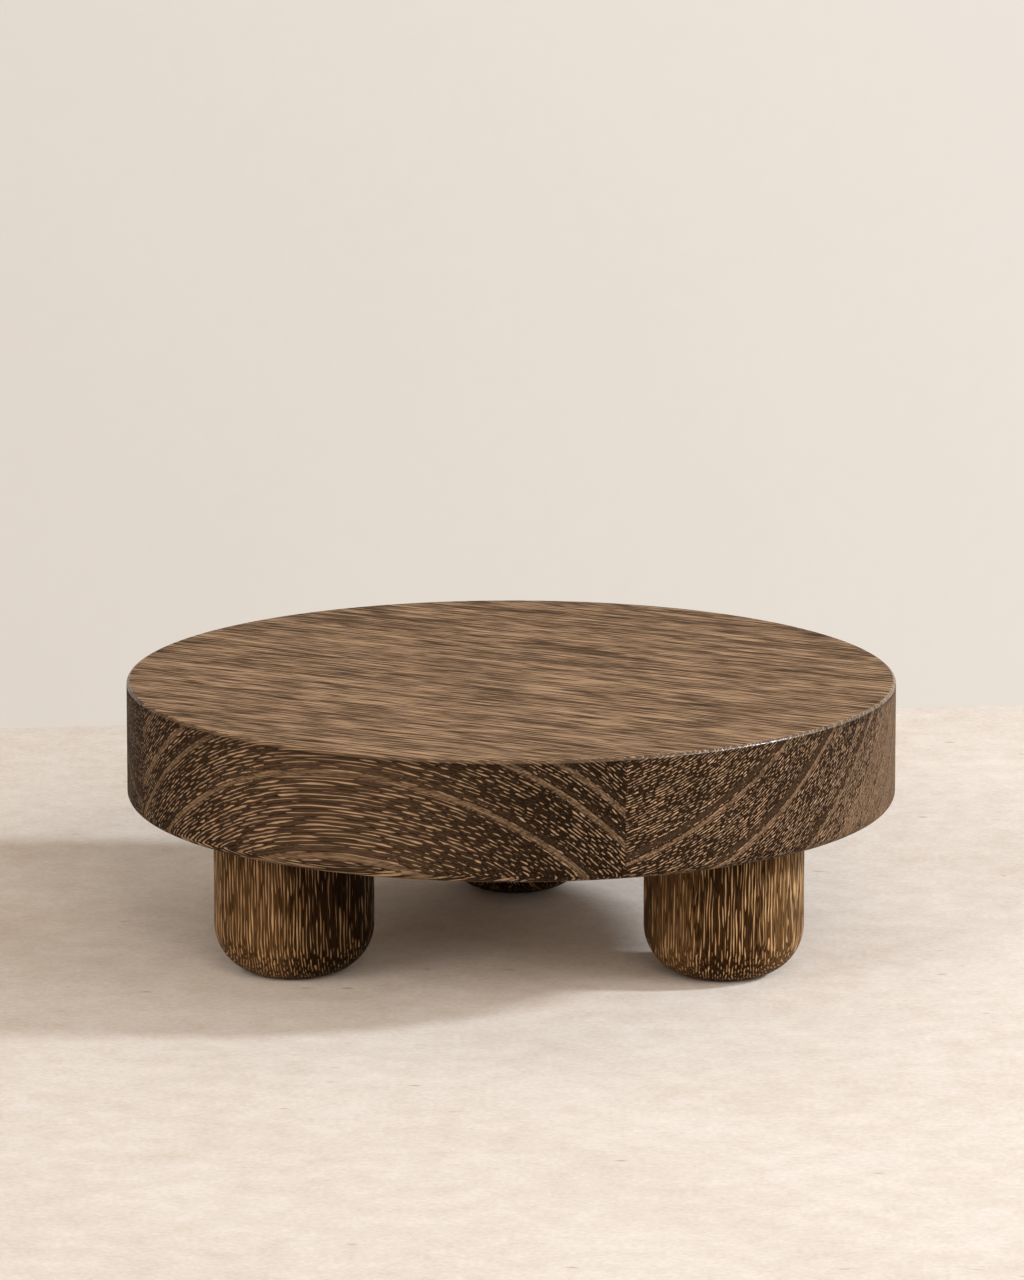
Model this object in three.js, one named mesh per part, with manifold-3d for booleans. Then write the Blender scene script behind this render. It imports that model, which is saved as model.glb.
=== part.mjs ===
// Footed wooden riser. A thick round top is glued up from three boards and carried
// on three turned feet. A fluted dowel, glued into blind holes, pins each foot.
//
// Millimetres, +Z up. The origin is on the floor under the centre of the top. One
// foot stands at the back, on +Y, and two stand at the front, towards -Y.

import * as THREE from "three";
import { mergeVertices } from "three/addons/utils/BufferGeometryUtils.js";
import Module from "manifold-3d";

// Top: a disc sawn and turned from one edge-glued panel
const TOP_DIAMETER = 305;
const TOP_THICKNESS = 48;
const UPPER_EDGE_RADIUS = 2;
const LOWER_EDGE_RADIUS = 4;
const CENTRE_BOARD_WIDTH = 220;
const GLUE_LINE = 0.3;
// The boards' grain, turned from +X about +Z
const GRAIN_ANGLE = THREE.MathUtils.degToRad(-26);

// Feet: plain turned stubs with a large round at the floor
const FOOT_DIAMETER = 63;
const FOOT_HEIGHT = 60;
const FOOT_ROUND = 20;
// From the rim of the top in to the side of each foot
const FOOT_INSET = 23.5;
const FEET = [
  { place: "back", angle: THREE.MathUtils.degToRad(90) },
  { place: "front_left", angle: THREE.MathUtils.degToRad(210) },
  { place: "front_right", angle: THREE.MathUtils.degToRad(330) },
];

// Dowels: half of each sits in its foot and half in the top
const DOWEL_DIAMETER = 12;
const DOWEL_LENGTH = 50;
const DOWEL_CHAMFER = 1.5;
const DOWEL_FLUTES = 12;
const FLUTE_DEPTH = 0.5;
const FLUTE_RADIUS = 0.9;
const DOWEL_CLEARANCE = 0.3;
// Room for squeezed-out glue past each end of a dowel
const GLUE_POCKET = 1;

// How finely round forms are faceted
const TOP_SEGMENTS = 128;
const FOOT_SEGMENTS = 64;
const HOLE_SEGMENTS = 48;
const EDGE_STEPS = 3;
const FOOT_ROUND_STEPS = 6;
const FLUTE_STEPS = 4;
const LAND_STEPS = 2;

const topRadius = TOP_DIAMETER / 2;
const topZ = FOOT_HEIGHT + TOP_THICKNESS;
const footRadius = FOOT_DIAMETER / 2;
const footCircleRadius = topRadius - FOOT_INSET - footRadius;
const dowelRadius = DOWEL_DIAMETER / 2;
const holeRadius = dowelRadius + DOWEL_CLEARANCE;
const holeDepth = DOWEL_LENGTH / 2 + GLUE_POCKET;
const QUARTER = Math.PI / 2;

const wasm = await Module();
wasm.setup();

// A closed geometry as a solid that can be cut.
function solidFrom(geometry) {
  const bare = geometry.clone();
  bare.deleteAttribute("normal");
  bare.deleteAttribute("uv");
  const merged = mergeVertices(bare);
  return new wasm.Manifold(
    new wasm.Mesh({
      numProp: 3,
      vertProperties: merged.attributes.position.array,
      triVerts: new Uint32Array(merged.index.array),
    }),
  );
}

// A cut solid as a geometry that can be shown.
function geometryFrom(solid) {
  const mesh = solid.getMesh();
  const geometry = new THREE.BufferGeometry();
  geometry.setAttribute("position", new THREE.BufferAttribute(mesh.vertProperties, 3));
  geometry.setIndex(new THREE.BufferAttribute(mesh.triVerts, 1));
  geometry.computeVertexNormals();
  return geometry;
}

// Turns a profile, drawn as radius and height, about +Z. The profile runs from the
// axis at the bottom, out and up, and back to the axis at the top.
function turned(profile, segments, steps = 1) {
  return new THREE.LatheGeometry(profile.getPoints(steps), segments).rotateX(QUARTER);
}

// A plain round bar, such as a drill, with its lower end at a height.
function roundBar(radius, length, bottomZ, segments) {
  return new THREE.CylinderGeometry(radius, radius, length, segments)
    .rotateX(QUARTER)
    .translate(0, 0, bottomZ + length / 2);
}

// The centre of a foot on its circle.
function footPosition(angle) {
  return new THREE.Vector3(footCircleRadius * Math.cos(angle), footCircleRadius * Math.sin(angle), 0);
}

// The whole disc, with both rims eased and a blind hole over each foot.
function drilledDisc() {
  // Where the flat faces end and the eased edges begin
  const lowerEdge = topRadius - LOWER_EDGE_RADIUS;
  const upperEdge = topRadius - UPPER_EDGE_RADIUS;
  const profile = new THREE.Path()
    .moveTo(0, FOOT_HEIGHT)
    .lineTo(lowerEdge, FOOT_HEIGHT)
    .absarc(lowerEdge, FOOT_HEIGHT + LOWER_EDGE_RADIUS, LOWER_EDGE_RADIUS, -QUARTER, 0)
    .lineTo(topRadius, topZ - UPPER_EDGE_RADIUS)
    .absarc(upperEdge, topZ - UPPER_EDGE_RADIUS, UPPER_EDGE_RADIUS, 0, QUARTER)
    .lineTo(0, topZ);
  let disc = solidFrom(turned(profile, TOP_SEGMENTS, EDGE_STEPS));
  // The drill starts below the disc, so that no skin is left over the mouth.
  const drill = roundBar(holeRadius, 2 * holeDepth, FOOT_HEIGHT - holeDepth, HOLE_SEGMENTS);
  for (const { angle } of FEET) {
    const { x, y } = footPosition(angle);
    disc = disc.subtract(solidFrom(drill.clone().translate(x, y, 0)));
  }
  return disc;
}

// One board of the disc: what lies between two lines along the grain.
function boardBetween(disc, from, to) {
  const slab = new THREE.BoxGeometry(2 * TOP_DIAMETER, to - from, 2 * topZ)
    .translate(0, (from + to) / 2, topZ)
    .rotateZ(GRAIN_ANGLE);
  return geometryFrom(disc.intersect(solidFrom(slab)));
}

// A foot, turned in one profile with the blind hole in its upper end.
function footGeometry() {
  const baseRadius = footRadius - FOOT_ROUND;
  const profile = new THREE.Path()
    .moveTo(0, 0)
    .lineTo(baseRadius, 0)
    .absarc(baseRadius, FOOT_ROUND, FOOT_ROUND, -QUARTER, 0)
    .lineTo(footRadius, FOOT_HEIGHT)
    .lineTo(holeRadius, FOOT_HEIGHT)
    .lineTo(holeRadius, FOOT_HEIGHT - holeDepth)
    .lineTo(0, FOOT_HEIGHT - holeDepth);
  return turned(profile, FOOT_SEGMENTS, FOOT_ROUND_STEPS);
}

// The section of a dowel: a round with flutes scooped out of it along its length.
function flutedSection() {
  const fluteCentre = dowelRadius - FLUTE_DEPTH + FLUTE_RADIUS;
  // Where a flute's round crosses the dowel's round, seen from each centre
  const across = (dowelRadius ** 2 + fluteCentre ** 2 - FLUTE_RADIUS ** 2) / (2 * dowelRadius * fluteCentre);
  const halfFlute = Math.acos(across);
  const mouth = Math.asin((dowelRadius * Math.sin(halfFlute)) / FLUTE_RADIUS);
  const pitch = (2 * Math.PI) / DOWEL_FLUTES;
  const points = [];
  for (let flute = 0; flute < DOWEL_FLUTES; flute += 1) {
    const facing = flute * pitch;
    const scoop = new THREE.EllipseCurve(
      fluteCentre * Math.cos(facing),
      fluteCentre * Math.sin(facing),
      FLUTE_RADIUS,
      FLUTE_RADIUS,
      facing + Math.PI + mouth,
      facing + Math.PI - mouth,
      true,
    );
    const land = new THREE.EllipseCurve(
      0,
      0,
      dowelRadius,
      dowelRadius,
      facing + halfFlute,
      facing + pitch - halfFlute,
    );
    points.push(...scoop.getPoints(FLUTE_STEPS).slice(0, -1));
    points.push(...land.getPoints(LAND_STEPS).slice(0, -1));
  }
  return new THREE.Shape(points);
}

// A fluted dowel with both ends chamfered, centred on the joint face.
function dowelGeometry() {
  const bottomZ = FOOT_HEIGHT - DOWEL_LENGTH / 2;
  const end = dowelRadius - DOWEL_CHAMFER;
  const fluted = new THREE.ExtrudeGeometry(flutedSection(), { depth: DOWEL_LENGTH, bevelEnabled: false });
  const chamfered = new THREE.Path()
    .moveTo(0, bottomZ)
    .lineTo(end, bottomZ)
    .lineTo(dowelRadius, bottomZ + DOWEL_CHAMFER)
    .lineTo(dowelRadius, bottomZ + DOWEL_LENGTH - DOWEL_CHAMFER)
    .lineTo(end, bottomZ + DOWEL_LENGTH)
    .lineTo(0, bottomZ + DOWEL_LENGTH);
  const blank = solidFrom(turned(chamfered, HOLE_SEGMENTS));
  return geometryFrom(blank.intersect(solidFrom(fluted.translate(0, 0, bottomZ))));
}

const topWood = new THREE.MeshStandardMaterial({ color: 0x6f553f, roughness: 0.62, metalness: 0 });
const footWood = new THREE.MeshStandardMaterial({ color: 0x6b4a2c, roughness: 0.6, metalness: 0 });
const dowelWood = new THREE.MeshStandardMaterial({ color: 0xc9a473, roughness: 0.75, metalness: 0 });

function namedMesh(name, geometry, material) {
  const mesh = new THREE.Mesh(geometry, material);
  mesh.name = name;
  return mesh;
}

// The top: a wide centre board between two narrower ones.
function makeTop() {
  const top = new THREE.Group();
  const disc = drilledDisc();
  const half = CENTRE_BOARD_WIDTH / 2;
  const outside = TOP_DIAMETER;
  top.add(namedMesh("front_board", boardBetween(disc, -outside, -half - GLUE_LINE), topWood));
  top.add(namedMesh("centre_board", boardBetween(disc, -half, half), topWood));
  top.add(namedMesh("back_board", boardBetween(disc, half + GLUE_LINE, outside), topWood));
  return top;
}

// A foot with its dowel, set on the foot circle.
function makeFoot({ place, angle }) {
  const assembly = new THREE.Group();
  assembly.position.copy(footPosition(angle));
  assembly.add(namedMesh(`foot_${place}`, footGeometry(), footWood));
  assembly.add(namedMesh(`dowel_${place}`, dowelGeometry(), dowelWood));
  return assembly;
}

const riser = new THREE.Group();
riser.name = "footed_riser";
riser.add(makeTop());
for (const foot of FEET) {
  riser.add(makeFoot(foot));
}

export default riser;
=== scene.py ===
"""Looks of the footed wooden riser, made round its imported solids.

Metres, +Z up, in the frame of the solids. The wood is one solid figure that runs right through each
piece: a point is placed in the log that the piece was cut from, and its growth rings and pale flecks
follow from that place. So the rim, the flat faces and the turned feet all show the same wood, cut at
their own angles.
"""

import logging
import math
from dataclasses import dataclass
from enum import Enum
from typing import Optional, Sequence, Union

import bmesh
import bpy
from mathutils import Euler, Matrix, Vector, noise


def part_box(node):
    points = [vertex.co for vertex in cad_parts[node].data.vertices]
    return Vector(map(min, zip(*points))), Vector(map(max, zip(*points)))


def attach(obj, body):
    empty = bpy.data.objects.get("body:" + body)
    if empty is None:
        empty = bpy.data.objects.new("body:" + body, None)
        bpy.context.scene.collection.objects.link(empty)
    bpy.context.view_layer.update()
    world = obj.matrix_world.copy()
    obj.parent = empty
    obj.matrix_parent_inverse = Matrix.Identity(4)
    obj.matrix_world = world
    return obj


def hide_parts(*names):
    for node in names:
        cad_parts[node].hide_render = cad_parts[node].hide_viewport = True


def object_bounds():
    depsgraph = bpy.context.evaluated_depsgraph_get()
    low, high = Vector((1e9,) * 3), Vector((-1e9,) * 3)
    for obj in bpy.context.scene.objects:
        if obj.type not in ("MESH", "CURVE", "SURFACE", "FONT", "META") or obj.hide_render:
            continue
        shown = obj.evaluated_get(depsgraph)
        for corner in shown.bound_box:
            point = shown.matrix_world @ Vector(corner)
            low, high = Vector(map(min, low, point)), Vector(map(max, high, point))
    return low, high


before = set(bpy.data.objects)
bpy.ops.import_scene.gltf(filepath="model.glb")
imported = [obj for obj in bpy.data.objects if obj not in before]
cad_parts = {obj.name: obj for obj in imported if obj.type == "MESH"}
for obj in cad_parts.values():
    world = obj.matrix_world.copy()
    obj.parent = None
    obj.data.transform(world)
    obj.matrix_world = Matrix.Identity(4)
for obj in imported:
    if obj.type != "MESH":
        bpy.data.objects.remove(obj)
CAD_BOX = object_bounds()

BODY = "root"
MM = 0.001
QUARTER = math.pi / 2
ORIGIN = Vector((0.0, 0.0, 0.0))

# A distance in the log, in millimetres, that no piece reaches
FAR = 1000.0

# The boards' grain, turned from +X about +Z, as in the solids
GRAIN_ANGLE = math.radians(-26.0)

# The top's rim, and how far from its upper corner the wood is worn smooth
RIM_RADIUS = CAD_BOX[1].x
RIM_HEIGHT = CAD_BOX[1].z
EDGE_REACH = 1.5 * MM

Node = bpy.types.Node
NodeTree = bpy.types.NodeTree
Socket = bpy.types.NodeSocket
Material = bpy.types.Material
Mesh = bmesh.types.BMesh
Row = list[bmesh.types.BMVert]
Colour = tuple[float, float, float, float]
Size = tuple[float, float, float]
Feed = Union[Socket, float, Sequence[float]]
Feeds = dict[Union[str, int], Feed]
Kinds = dict[str, str]

log = logging.getLogger("riser")


@dataclass(frozen=True)
class Mottle:
    """A noise that sways a tone, by the size of its grains along each axis."""

    size: Size
    sway: float
    detail: float = 1.0
    roughness: float = 0.5


class Board(Enum):
    """The boards of the top, by the node that each one stands for."""

    FRONT = "front_board"
    CENTRE = "centre_board"
    BACK = "back_board"


class FootPlace(Enum):
    """Where a foot stands under the top."""

    BACK = "back"
    FRONT_LEFT = "front_left"
    FRONT_RIGHT = "front_right"


class Grain(Enum):
    """Which way the grain runs in a piece, as the turn that lays it along X."""

    ALONG_THE_BOARDS = (0.0, 0.0, -GRAIN_ANGLE)
    UPRIGHT = (0.0, QUARTER, 0.0)

    @property
    def direction(self) -> Vector:
        """The way that the grain runs in the frame."""
        return Vector(Euler(self.value).to_matrix()[0])


class Thinning(Enum):
    """Along which measure of the log the flecks thin out."""

    WITH_THE_GRAIN = "Along"
    OUTWARDS = "Radius"


# Node trees


class Wiring:
    """Adds nodes to one tree and links them."""

    COLUMN = 190.0
    ROW = 260.0
    ROW_LENGTH = 12

    def __init__(self, tree: NodeTree) -> None:
        """Starts on a tree, which may be empty."""
        self.tree = tree
        self.placed = 0

    def add(self, kind: str, **settings: object) -> Node:
        """Adds a node.

        Args:
            kind: The node's type, as the API names it.
            settings: The node's properties.

        Returns:
            The new node.
        """
        node = self.tree.nodes.new(kind)
        for name, value in settings.items():
            setattr(node, name, value)
        row, column = divmod(self.placed, self.ROW_LENGTH)
        node.location = (self.COLUMN * column, -self.ROW * row)
        self.placed += 1
        return node

    def feed(self, node: Node, values: Feeds) -> None:
        """Links a node's inputs to other sockets, or sets their values.

        Args:
            node: The node.
            values: What each input gets, by its name or its number.
        """
        for key, value in values.items():
            if isinstance(value, Socket):
                self.tree.links.new(value, node.inputs[key])
            else:
                node.inputs[key].default_value = value

    def fed(self, kind: str, values: Feeds, **settings: object) -> Node:
        """Adds a node and feeds its inputs.

        Args:
            kind: The node's type, as the API names it.
            values: What each input gets, by its name or its number.
            settings: The node's properties.

        Returns:
            The new node.
        """
        node = self.add(kind, **settings)
        self.feed(node, values)
        return node

    def group(self, tree: NodeTree, values: Feeds) -> Node:
        """Adds a node group, feeds its inputs and returns its node."""
        return self.fed("ShaderNodeGroup", values, node_tree=tree)

    def maths(self, operation: str, *values: Feed) -> Socket:
        """Adds a sum of one to three numbers and returns its result."""
        return self.fed("ShaderNodeMath", dict(enumerate(values)), operation=operation).outputs[0]

    def raised(self, base: Feed, value: Feed, amount: Feed) -> Socket:
        """Adds an amount of a number to a base."""
        return self.maths("MULTIPLY_ADD", value, amount, base)

    def swayed(self, base: Feed, value: Feed, amount: Feed, middle: float = 0.5) -> Socket:
        """Adds an amount of a number, measured from its middle, to a base."""
        return self.raised(base, self.maths("SUBTRACT", value, middle), amount)

    def vectors(self, operation: str, *values: Feed) -> Socket:
        """Adds a sum of vectors that makes a vector, and returns that."""
        inputs = dict(enumerate(values))
        return self.fed("ShaderNodeVectorMath", inputs, operation=operation).outputs["Vector"]

    def measured(self, operation: str, *values: Feed) -> Socket:
        """Adds a sum of vectors that makes a number, and returns that."""
        inputs = dict(enumerate(values))
        return self.fed("ShaderNodeVectorMath", inputs, operation=operation).outputs["Value"]

    def scaled(self, vector: Feed, scale: Feed) -> Socket:
        """Makes a vector longer or shorter by a number."""
        values = {0: vector, "Scale": scale}
        return self.fed("ShaderNodeVectorMath", values, operation="SCALE").outputs["Vector"]

    def stretched(self, vector: Feed, sizes: Size) -> Socket:
        """Measures a vector in units of a size along each axis."""
        return self.vectors("MULTIPLY", vector, [1 / size for size in sizes])

    def joined(self, *numbers: Feed) -> Socket:
        """Makes a vector of three numbers."""
        return self.fed("ShaderNodeCombineXYZ", dict(enumerate(numbers))).outputs[0]

    def parted(self, vector: Feed) -> tuple[Socket, ...]:
        """Takes a vector apart into its three numbers."""
        return tuple(self.fed("ShaderNodeSeparateXYZ", {0: vector}).outputs)

    def point(self, measure: str) -> Socket:
        """Gives the place or the facing of each point, as the API names it."""
        return self.add("ShaderNodeTexCoord").outputs[measure]

    def noise(self, vector: Feed, detail: float = 1.0, roughness: float = 0.5) -> Node:
        """Adds a noise of one grain a unit and returns its node."""
        values = {"Vector": vector, "Scale": 1.0, "Detail": detail, "Roughness": roughness}
        return self.fed("ShaderNodeTexNoise", values)

    def grains(self, place: Feed, sizes: Size, detail: float = 1.0, roughness: float = 0.5) -> Socket:
        """Adds a noise with grains of a size along each axis, and returns its value."""
        return self.noise(self.stretched(place, sizes), detail, roughness).outputs["Fac"]

    def mottled(self, tone: Feed, place: Feed, mottles: Sequence[Mottle]) -> Feed:
        """Sways a tone by one noise after another.

        Args:
            tone: The tone.
            place: Where each point is, in the unit of the noises' sizes.
            mottles: The noises.

        Returns:
            The swayed tone.
        """
        for mottle in mottles:
            grains = self.grains(place, mottle.size, mottle.detail, mottle.roughness)
            tone = self.swayed(tone, grains, mottle.sway)
        return tone

    def ramp(self, value: Feed, low: Feed, high: Feed, to_low: Feed = 0.0, to_high: Feed = 1.0) -> Socket:
        """Eases a number from one range into another.

        Args:
            value: The number.
            low: Where the first range starts.
            high: Where it ends, which may be below its start.
            to_low: What the start becomes.
            to_high: What the end becomes.

        Returns:
            The eased number, held inside the second range.
        """
        values = dict(enumerate((value, low, high, to_low, to_high)))
        return self.fed("ShaderNodeMapRange", values, interpolation_type="SMOOTHSTEP").outputs[0]

    def blend(self, factor: Feed, first: Feed, second: Feed, how: str = "MIX") -> Socket:
        """Mixes two colours.

        Args:
            factor: The share of the second colour.
            first: The colour underneath.
            second: The colour on top.
            how: The way of mixing, as the API names it.

        Returns:
            The mixed colour.
        """
        node = self.add("ShaderNodeMix", data_type="RGBA", blend_type=how)
        under, over = (key for key, socket in enumerate(node.inputs) if socket.type == "RGBA")
        self.feed(node, {0: factor, under: first, over: second})
        return next(socket for socket in node.outputs if socket.type == "RGBA")

    def relief(self, height: Feed, strength: float, distance: float) -> Socket:
        """Adds a bump from a height, as deep as the distance in metres, and returns its normals."""
        values = {"Height": height, "Strength": strength, "Distance": distance}
        return self.fed("ShaderNodeBump", values).outputs["Normal"]


def own_node(tree: NodeTree, kind: str) -> Node:
    """Finds the node of a kind that a new tree starts with."""
    return next(node for node in tree.nodes if node.type == kind)


def new_material(name: str) -> tuple[Material, Wiring, Node]:
    """Makes a material with a plain shader.

    Args:
        name: The material's name.

    Returns:
        The material, its wiring and its shader.
    """
    made = bpy.data.materials.new(name)
    made.use_nodes = True
    return made, Wiring(made.node_tree), own_node(made.node_tree, "BSDF_PRINCIPLED")


def shader_group(name: str, inputs: Kinds, outputs: Kinds) -> tuple[Wiring, bpy.types.NodeOutputs, Node]:
    """Makes an empty shader node group.

    Args:
        name: The group's name.
        inputs: The kind of each input socket, by its name.
        outputs: The kind of each output socket, by its name.

    Returns:
        Its wiring, the sockets that bring its inputs in, and the node that takes its outputs away.
    """
    tree = bpy.data.node_groups.new(name, "ShaderNodeTree")
    for direction, sockets in (("INPUT", inputs), ("OUTPUT", outputs)):
        for socket, kind in sockets.items():
            tree.interface.new_socket(socket, in_out=direction, socket_type=f"NodeSocket{kind}")
    wiring = Wiring(tree)
    given = wiring.add("NodeGroupInput").outputs
    return wiring, given, wiring.add("NodeGroupOutput")


# The band's value in the flecked wood between a pale band and a dark one
FLECKED = 0.5

PALETTE_KINDS = dict.fromkeys(("Dark", "Mid", "Light"), "Color")
LOG_MEASURES = ("Radius", "Around", "Along", "Tangential")


class FleckedWood:
    """The node group that grows dark wood with pale flecks between pale and dark bands.

    The band is 0 in a dark band, 1 in a pale one and half way in the flecked wood between them. Sizes are
    in millimetres out from the pith, round it and along it.
    """

    BAND_NUMBERS = ("Band", "Veil", "Lift", "Side Lift")
    FLECK_NUMBERS = ("Spacing", "Width", "Length", "Ripple", "Breaks", "Share")

    # Patches of weaker figure, fibres along the grain, rays out from the pith, and lines round the log
    PATCH_SIZE = (6.0, 13.0, 70.0)
    FIBRE_SIZE = (0.45, 0.6, 12.0)
    RAY_SIZE = (1.4, 0.4, 5.0)
    LINE_SIZE = (0.8, 14.0, 40.0)
    FINE_DETAIL = (2.0, 0.6)

    # The part of a noise that is stretched from nothing to all of it
    SOFT = (0.3, 0.7)
    CRISP = (0.35, 0.65)

    # How far the rays fray both kinds of band, and from where to where a band sets in
    FRAY = 0.25
    PALE_BAND = (0.62, 0.95)
    DARK_BAND = (0.4, 0.05)

    # How often the rows of flecks ripple and crinkle, by the fleck, and how far they crinkle, in rows
    RIPPLES = (0.35, 0.4, 0.9)
    CRINKLES = (0.9, 1.7, 1.5)
    CRINKLE = 0.6

    # How often the rows break into dashes, round the log, along it and from row to row, and how far each
    # row's dashes are staggered from the last row's, as a share of a dash and its gap
    DASHES = (2.0, 2.0, 5.37)
    ROW_STAGGER = 0.618

    # How much fuller of fleck the wood is by the square of its distance from a row's middle, along a dash,
    # in a dark band, in a patch and by its fibres
    OFF_ROW = -1.8
    ALONG_DASH = 0.12
    IN_DARK_BAND = -0.3
    IN_PATCH = 0.1
    BY_FIBRE = 0.12

    # Threads on wood that is cut flat to the rings: how often they come, how full they are and how far
    # that sways, and how flat the cut is where they set in
    THREADS = (0.4, 1.0, 1.7)
    THREAD_FULLNESS = 0.36
    THREAD_SWAY = 1.6
    FLAT_CUT = (0.72, 0.95)

    # From which fullness to which a fleck sets in, and the dark wood beside it
    FLECK = (0.42, 0.56)
    BESIDE_FLECK = (0.05, 0.36)

    # How much lighter the ground is by its fibres and in a dark band, how far along the grain it is cut
    # where it lightens further, and how much darker it is beside a fleck
    GROUND_FIBRE = 0.3
    GROUND_BAND = 0.25
    SIDE_GRAIN = (0.6, 0.05)
    SHADE_BESIDE = -0.7

    # The tones of flecks, and of the hatched wood in a pale band
    FLECK_TONES = (0.3, 0.65, 0.45, 1.0)
    HATCH_RAY = 0.3
    HATCH_LINE = 0.6
    HATCH_FIBRE = 0.35
    HATCH_BAND = 1.4
    LOW_TONE = 0.65
    HIGH_TONE = 0.48

    # How rough the wood is, how much rougher a fleck is, and how high flecks and fibres stand
    ROUGHNESS = 0.55
    FLECK_ROUGHNESS = 0.12
    FLECK_HEIGHT = 0.6
    FIBRE_HEIGHT = 0.4

    def __init__(self) -> None:
        """Makes the group."""
        numbers = LOG_MEASURES + self.BAND_NUMBERS + self.FLECK_NUMBERS
        self.wiring, self.given, leave = shader_group(
            "Flecked wood",
            {**dict.fromkeys(numbers, "Float"), "Grain": "Vector", **PALETTE_KINDS},
            {"Color": "Color", "Roughness": "Float", "Height": "Float"},
        )
        wiring = self.wiring
        self.tree = wiring.tree
        self.place = wiring.joined(*(self.given[name] for name in ("Radius", "Around", "Along")))
        self.patch = wiring.ramp(wiring.grains(self.place, self.PATCH_SIZE), *self.SOFT)
        self.fibre = wiring.ramp(wiring.grains(self.place, self.FIBRE_SIZE, *self.FINE_DETAIL), *self.SOFT)
        self.ray = wiring.ramp(wiring.grains(self.place, self.RAY_SIZE), *self.CRISP)
        self.ragged = wiring.swayed(self.given["Band"], self.ray, self.FRAY)
        self.pale_band = wiring.ramp(self.ragged, *self.PALE_BAND)
        self.dark_band = wiring.ramp(self.ragged, *self.DARK_BAND)
        fullness, fleck_tone = self._rows_of_flecks()
        fleck = wiring.ramp(fullness, *self.FLECK)
        tone = wiring.ramp(fleck_tone, *self.FLECK_TONES)
        pale = wiring.blend(tone, self.given["Mid"], self.given["Light"])
        flecked = wiring.blend(fleck, self._ground(fullness), pale)
        veil = wiring.maths("MULTIPLY", self.pale_band, self.given["Veil"])
        fine_height = wiring.maths("MULTIPLY", self.fibre, self.FIBRE_HEIGHT)
        results = {
            "Color": wiring.blend(veil, flecked, self._hatched_band()),
            "Roughness": wiring.raised(self.ROUGHNESS, fleck, self.FLECK_ROUGHNESS),
            "Height": wiring.raised(fine_height, fleck, self.FLECK_HEIGHT),
        }
        wiring.feed(leave, results)

    def _rows_of_flecks(self) -> tuple[Socket, Socket]:
        """Lays flecks in rows round the log, each row rippled and broken into dashes of its own.

        Returns:
            How full of fleck each point is, and the tone of its fleck.
        """
        wiring, given = self.wiring, self.given
        fleck_size = wiring.joined(given["Spacing"], given["Width"], given["Length"])
        cells = wiring.vectors("DIVIDE", self.place, fleck_size)
        ripples = wiring.noise(wiring.vectors("MULTIPLY", cells, self.RIPPLES), detail=2.0)
        crinkles = wiring.noise(wiring.vectors("MULTIPLY", cells, self.CRINKLES))
        row_place, around, along = wiring.parted(cells)
        row_place = wiring.swayed(row_place, ripples.outputs["Fac"], given["Ripple"])
        row_place = wiring.swayed(row_place, crinkles.outputs["Fac"], self.CRINKLE)
        row = wiring.maths("FLOOR", row_place)
        off_middle = wiring.raised(-1.0, wiring.maths("SUBTRACT", row_place, row), 2.0)
        dash_place = wiring.vectors("MULTIPLY", wiring.joined(around, along, row), self.DASHES)
        dashes = wiring.noise(dash_place, detail=0.0)
        _, fleck_tone, stagger = wiring.parted(dashes.outputs["Color"])
        turn = wiring.maths("ADD", wiring.maths("ADD", around, along), stagger)
        turn = wiring.raised(turn, row, self.ROW_STAGGER)
        wave = wiring.maths("COSINE", wiring.maths("MULTIPLY", turn, math.tau))
        fullness = wiring.swayed(0.5, dashes.outputs["Fac"], given["Breaks"])
        fullness = wiring.raised(fullness, wiring.maths("MULTIPLY", off_middle, off_middle), self.OFF_ROW)
        fullness = wiring.raised(fullness, wave, self.ALONG_DASH)
        fullness = wiring.raised(fullness, self.dark_band, self.IN_DARK_BAND)
        fullness = wiring.swayed(fullness, self.patch, self.IN_PATCH)
        fullness = wiring.swayed(fullness, self.fibre, self.BY_FIBRE)

        # Where the wood is cut flat to the rings, fine threads along the grain show in place of the rows.
        thread_place = wiring.joined(
            given["Radius"], wiring.maths("DIVIDE", given["Around"], given["Spacing"]), along
        )
        threads = wiring.noise(wiring.vectors("MULTIPLY", thread_place, self.THREADS))
        thread = wiring.swayed(self.THREAD_FULLNESS, threads.outputs["Fac"], self.THREAD_SWAY)
        flat_cut = wiring.ramp(given["Tangential"], *self.FLAT_CUT)
        fullness = wiring.raised(fullness, wiring.maths("SUBTRACT", thread, fullness), flat_cut)
        return wiring.swayed(fullness, given["Share"], 1.0), fleck_tone

    def _ground(self, fullness: Socket) -> Socket:
        """Colours the wood between the flecks, darkest right beside a fleck and across the grain.

        Args:
            fullness: How full of fleck each point is.

        Returns:
            The colour.
        """
        wiring, given = self.wiring, self.given
        slope = wiring.measured("DOT_PRODUCT", wiring.point("Normal"), given["Grain"])
        side_grain = wiring.ramp(wiring.maths("ABSOLUTE", slope), *self.SIDE_GRAIN)
        beside_fleck = wiring.ramp(fullness, *self.BESIDE_FLECK)
        bare = wiring.maths("MULTIPLY", self.fibre, self.GROUND_FIBRE)
        bare = wiring.raised(bare, self.dark_band, self.GROUND_BAND)
        bare = wiring.raised(bare, self.pale_band, given["Lift"])
        bare = wiring.raised(bare, side_grain, given["Side Lift"])
        bare = wiring.maths("MULTIPLY", bare, wiring.raised(1.0, beside_fleck, self.SHADE_BESIDE))
        return wiring.blend(bare, given["Dark"], given["Mid"])

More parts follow.
